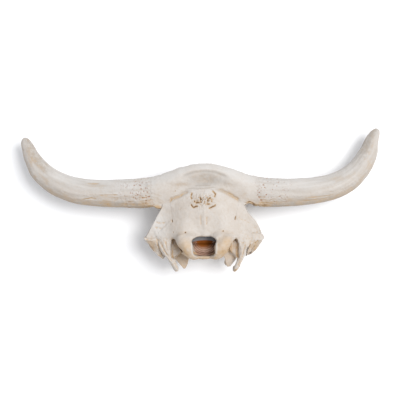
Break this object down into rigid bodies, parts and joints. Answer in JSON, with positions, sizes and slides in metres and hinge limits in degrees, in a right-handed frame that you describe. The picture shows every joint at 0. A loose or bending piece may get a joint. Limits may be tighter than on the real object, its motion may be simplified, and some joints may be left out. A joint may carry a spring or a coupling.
{
  "type": "longhorn steer skull, face missing",
  "caption": "Back half of a longhorn steer skull with its bare horn cores, sawn off in front of the braincase and lying on the sawn face.",
  "frame": {"origin": "centre of the underside of the whole skull's bounding box, on the plane of the sawn face", "axes": "+X across the skull to the horn that is on the right seen from behind, +Y from the palate side to the poll, +Z from the sawn face back to the occiput"},
  "size_m": [0.6622, 0.2588, 0.1236],
  "materials": {
    "frontal_bone": "dry weathered bone",
    "horn_core_left": "dry weathered bone, porous horn core",
    "horn_core_right": "dry weathered bone, porous horn core",
    "occipital_bone": "dry weathered bone",
    "occipital_condyle_left": "dry weathered bone",
    "occipital_condyle_right": "dry weathered bone",
    "paracondylar_process_left": "dry weathered bone",
    "paracondylar_process_right": "dry weathered bone",
    "parietal_bone_left": "dry weathered bone",
    "parietal_bone_right": "dry weathered bone",
    "sphenoid_bone": "dry weathered bone",
    "temporal_bone_left": "dry weathered bone",
    "temporal_bone_right": "dry weathered bone",
    "tympanic_bulla_left": "dry weathered bone",
    "tympanic_bulla_right": "dry weathered bone"
  },
  "bodies": {
    "root": {"frontal_bone": "frontal_bone", "horn_core_left": "horn_core_left", "horn_core_right": "horn_core_right", "occipital_bone": "occipital_bone", "occipital_condyle_left": "occipital_condyle_left", "occipital_condyle_right": "occipital_condyle_right", "paracondylar_process_left": "paracondylar_process_left", "paracondylar_process_right": "paracondylar_process_right", "parietal_bone_left": "parietal_bone_left", "parietal_bone_right": "parietal_bone_right", "sphenoid_bone": "sphenoid_bone", "temporal_bone_left": "temporal_bone_left", "temporal_bone_right": "temporal_bone_right", "tympanic_bulla_left": "tympanic_bulla_left", "tympanic_bulla_right": "tympanic_bulla_right"}
  },
  "joints": []
}
